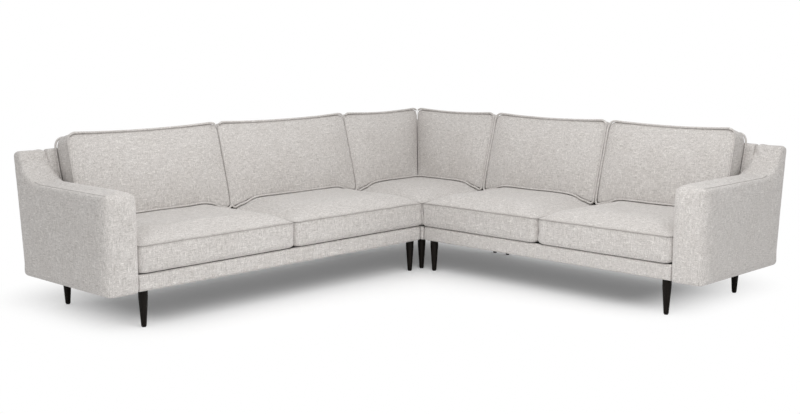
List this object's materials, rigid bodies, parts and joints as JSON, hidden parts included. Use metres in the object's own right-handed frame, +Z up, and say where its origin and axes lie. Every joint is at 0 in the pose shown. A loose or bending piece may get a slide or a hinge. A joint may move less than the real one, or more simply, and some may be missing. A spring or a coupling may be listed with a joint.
{
  "type": "corner sofa",
  "caption": "L-shaped corner sofa in three upholstered units, with loose boxed seat and back cushions, low swept arms and slim tapered round legs.",
  "frame": {"origin": "middle of the part's bounding rectangle on the floor", "axes": "+Z up; the long wing runs along X with its seat facing -Y, and the short wing runs along Y with its seat facing -X, so the open inner corner faces -X and -Y"},
  "size_m": [2.9365, 2.6525, 0.8893],
  "materials": {
    "upholstery_fabric": "matte",
    "padding": "matte",
    "deck_cloth": "matte",
    "webbing": "matte",
    "frame_timber": "matte",
    "black_wood": "satin",
    "black_plastic": "matte",
    "steel": "satin"
  },
  "bodies": {
    "sofa_frame": {"left_front_rail": "frame_timber", "left_back_rail": "frame_timber", "left_side_rails": "frame_timber", "corner_front_rails": "frame_timber", "corner_back_rails": "frame_timber", "right_front_rail": "frame_timber", "right_back_rail": "frame_timber", "right_side_rails": "frame_timber", "corner_blocks": "frame_timber", "left_back_posts": "frame_timber", "right_back_posts": "frame_timber", "corner_back_posts": "frame_timber", "left_top_rail": "frame_timber", "right_top_rail": "frame_timber", "corner_top_rails": "frame_timber", "left_arm_panels": "frame_timber", "right_arm_panels": "frame_timber", "seat_webbing": "webbing", "left_deck": "deck_cloth", "right_deck": "deck_cloth", "corner_deck": "deck_cloth", "dust_covers": "deck_cloth", "left_front_upholstery": "upholstery_fabric", "right_front_upholstery": "upholstery_fabric", "corner_front_upholstery": "upholstery_fabric", "left_back_upholstery": "upholstery_fabric", "right_back_upholstery": "upholstery_fabric", "corner_back_upholstery": "upholstery_fabric", "left_arm_upholstery": "upholstery_fabric", "right_arm_upholstery": "upholstery_fabric", "left_arm_padding": "padding", "right_arm_padding": "padding", "legs": "black_wood", "leg_bolts": "steel", "leg_glides": "black_plastic", "module_plates": "steel"},
    "left_outer_seat_cushion": {"left_outer_seat_cover": "upholstery_fabric", "left_outer_seat_filling": "padding"},
    "left_inner_seat_cushion": {"left_inner_seat_cover": "upholstery_fabric", "left_inner_seat_filling": "padding"},
    "corner_seat_cushion": {"corner_seat_cover": "upholstery_fabric", "corner_seat_filling": "padding"},
    "right_inner_seat_cushion": {"right_inner_seat_cover": "upholstery_fabric", "right_inner_seat_filling": "padding"},
    "right_outer_seat_cushion": {"right_outer_seat_cover": "upholstery_fabric", "right_outer_seat_filling": "padding"},
    "left_outer_back_cushion": {"left_outer_back_cover": "upholstery_fabric", "left_outer_back_filling": "padding"},
    "left_inner_back_cushion": {"left_inner_back_cover": "upholstery_fabric", "left_inner_back_filling": "padding"},
    "corner_left_back_cushion": {"corner_left_back_cover": "upholstery_fabric", "corner_left_back_filling": "padding"},
    "corner_right_back_cushion": {"corner_right_back_cover": "upholstery_fabric", "corner_right_back_filling": "padding"},
    "right_inner_back_cushion": {"right_inner_back_cover": "upholstery_fabric", "right_inner_back_filling": "padding"},
    "right_outer_back_cushion": {"right_outer_back_cover": "upholstery_fabric", "right_outer_back_filling": "padding"}
  },
  "joints": [
    {"name": "left_outer_seat_lift", "type": "slide", "parent": "sofa_frame", "child": "left_outer_seat_cushion", "axis": [0, 0, 1], "range_m": [0, 0.5]},
    {"name": "left_inner_seat_lift", "type": "slide", "parent": "sofa_frame", "child": "left_inner_seat_cushion", "axis": [0, 0, 1], "range_m": [0, 0.5]},
    {"name": "corner_seat_lift", "type": "slide", "parent": "sofa_frame", "child": "corner_seat_cushion", "axis": [0, 0, 1], "range_m": [0, 0.5]},
    {"name": "right_inner_seat_lift", "type": "slide", "parent": "sofa_frame", "child": "right_inner_seat_cushion", "axis": [0, 0, 1], "range_m": [0, 0.5]},
    {"name": "right_outer_seat_lift", "type": "slide", "parent": "sofa_frame", "child": "right_outer_seat_cushion", "axis": [0, 0, 1], "range_m": [0, 0.5]},
    {"name": "left_outer_back_lift", "type": "slide", "parent": "left_outer_seat_cushion", "child": "left_outer_back_cushion", "axis": [0, 0, 1], "range_m": [0, 0.4]},
    {"name": "left_inner_back_lift", "type": "slide", "parent": "left_inner_seat_cushion", "child": "left_inner_back_cushion", "axis": [0, 0, 1], "range_m": [0, 0.4]},
    {"name": "corner_left_back_lift", "type": "slide", "parent": "corner_seat_cushion", "child": "corner_left_back_cushion", "axis": [0, 0, 1], "range_m": [0, 0.4]},
    {"name": "corner_right_back_lift", "type": "slide", "parent": "corner_seat_cushion", "child": "corner_right_back_cushion", "axis": [0, 0, 1], "range_m": [0, 0.4]},
    {"name": "right_inner_back_lift", "type": "slide", "parent": "right_inner_seat_cushion", "child": "right_inner_back_cushion", "axis": [0, 0, 1], "range_m": [0, 0.4]},
    {"name": "right_outer_back_lift", "type": "slide", "parent": "right_outer_seat_cushion", "child": "right_outer_back_cushion", "axis": [0, 0, 1], "range_m": [0, 0.4]}
  ]
}
